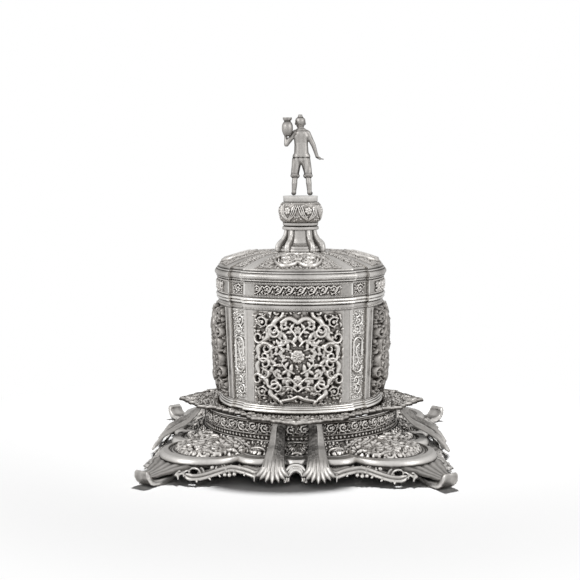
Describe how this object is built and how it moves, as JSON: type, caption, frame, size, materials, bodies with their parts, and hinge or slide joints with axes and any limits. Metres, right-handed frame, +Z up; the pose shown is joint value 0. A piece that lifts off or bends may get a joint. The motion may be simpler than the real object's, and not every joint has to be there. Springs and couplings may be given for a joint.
{
  "type": "betel box",
  "caption": "Lobed silver betel box with relief panels, a domed lid with a standing figure finial and a lift-out tray, on a low pierced stand with scroll feet.",
  "frame": {"origin": "on the ground, below the centre of the box around its feet", "axes": "+Z up along the axis of the box; -Y to the front, where the figure's back faces; +X to the viewer's right"},
  "size_m": [0.2752, 0.2734, 0.2939],
  "materials": {
    "polished_silver": "polished, with dark tarnish in the lines",
    "satin_silver": "satin",
    "relief_silver": "oxidised relief with bright high points"
  },
  "bodies": {
    "stand": {"base_plate": "polished_silver", "collar_ring": "relief_silver", "gallery_plate": "relief_silver", "strut_front_a": "satin_silver", "strut_right_a": "satin_silver", "strut_back_a": "satin_silver", "strut_left_a": "satin_silver", "apron_front_a": "satin_silver", "apron_right_a": "satin_silver", "apron_back_a": "satin_silver", "apron_left_a": "satin_silver", "strut_front_b": "satin_silver", "strut_right_b": "satin_silver", "strut_back_b": "satin_silver", "strut_left_b": "satin_silver", "apron_front_b": "satin_silver", "apron_right_b": "satin_silver", "apron_back_b": "satin_silver", "apron_left_b": "satin_silver", "arch_front": "polished_silver", "arch_right": "polished_silver", "arch_back": "polished_silver", "arch_left": "polished_silver", "foot_front_right": "satin_silver", "foot_back_right": "satin_silver", "foot_back_left": "satin_silver", "foot_front_left": "satin_silver"},
    "box": {"box_wall": "satin_silver", "base_moulding": "polished_silver", "panel_front": "relief_silver", "panel_right": "relief_silver", "panel_back": "relief_silver", "panel_left": "relief_silver", "corner_strip_front_right": "relief_silver", "corner_strip_back_right": "relief_silver", "corner_strip_back_left": "relief_silver", "corner_strip_front_left": "relief_silver", "lid_bezel": "satin_silver"},
    "tray": {"tray": "satin_silver"},
    "lid": {"lid_skirt": "satin_silver", "lid_cornice": "polished_silver", "lid_roof": "satin_silver", "roof_cartouche_front": "relief_silver", "roof_cartouche_right": "relief_silver", "roof_cartouche_back": "relief_silver", "roof_cartouche_left": "relief_silver", "neck": "satin_silver", "knob": "relief_silver", "finial_drum": "polished_silver", "finial_stud": "satin_silver", "finial_nut": "satin_silver", "figure": "satin_silver", "jar": "polished_silver"}
  },
  "joints": [
    {"name": "box_lift", "type": "slide", "parent": "stand", "child": "box", "axis": [0, 0, 1], "range_m": [0, 0.06]},
    {"name": "lid_lift", "type": "slide", "parent": "box", "child": "lid", "axis": [0, 0, 1], "range_m": [0, 0.12]},
    {"name": "tray_lift", "type": "slide", "parent": "box", "child": "tray", "axis": [0, 0, 1], "range_m": [0, 0.06]}
  ],
  "couplings": [
    {"joint": "tray_lift", "follows": "lid_lift", "ratio": 0.5}
  ]
}
